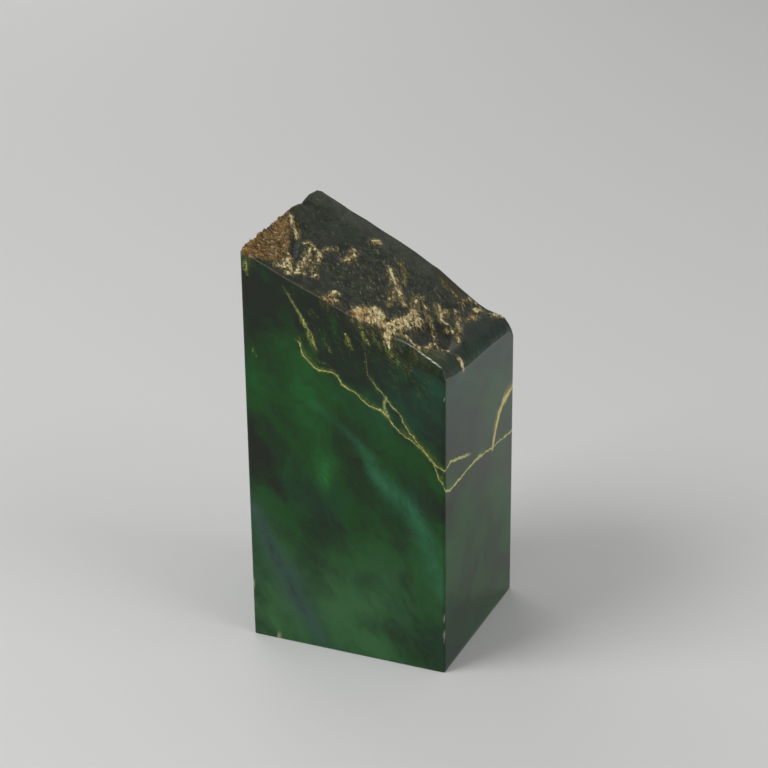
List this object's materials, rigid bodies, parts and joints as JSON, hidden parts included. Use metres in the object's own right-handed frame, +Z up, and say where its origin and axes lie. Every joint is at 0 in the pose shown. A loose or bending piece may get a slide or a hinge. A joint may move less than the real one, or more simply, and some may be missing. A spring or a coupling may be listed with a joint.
{
  "type": "jade block with a raw top",
  "caption": "Tall rectangular block of deep green nephrite jade with polished sides, a flat base and a natural, weathered top that slopes down to one end.",
  "frame": {"origin": "centre of the flat base", "axes": "+Z up the block's height; +X along the wide front face, from the tall end to the low end; +Y from the front face to the back face"},
  "size_m": [0.09, 0.081, 0.182],
  "materials": {
    "jade": "satin polish on the four sides, raw weathered crust on the top"
  },
  "bodies": {
    "root": {"jade_block": "jade"}
  },
  "joints": []
}
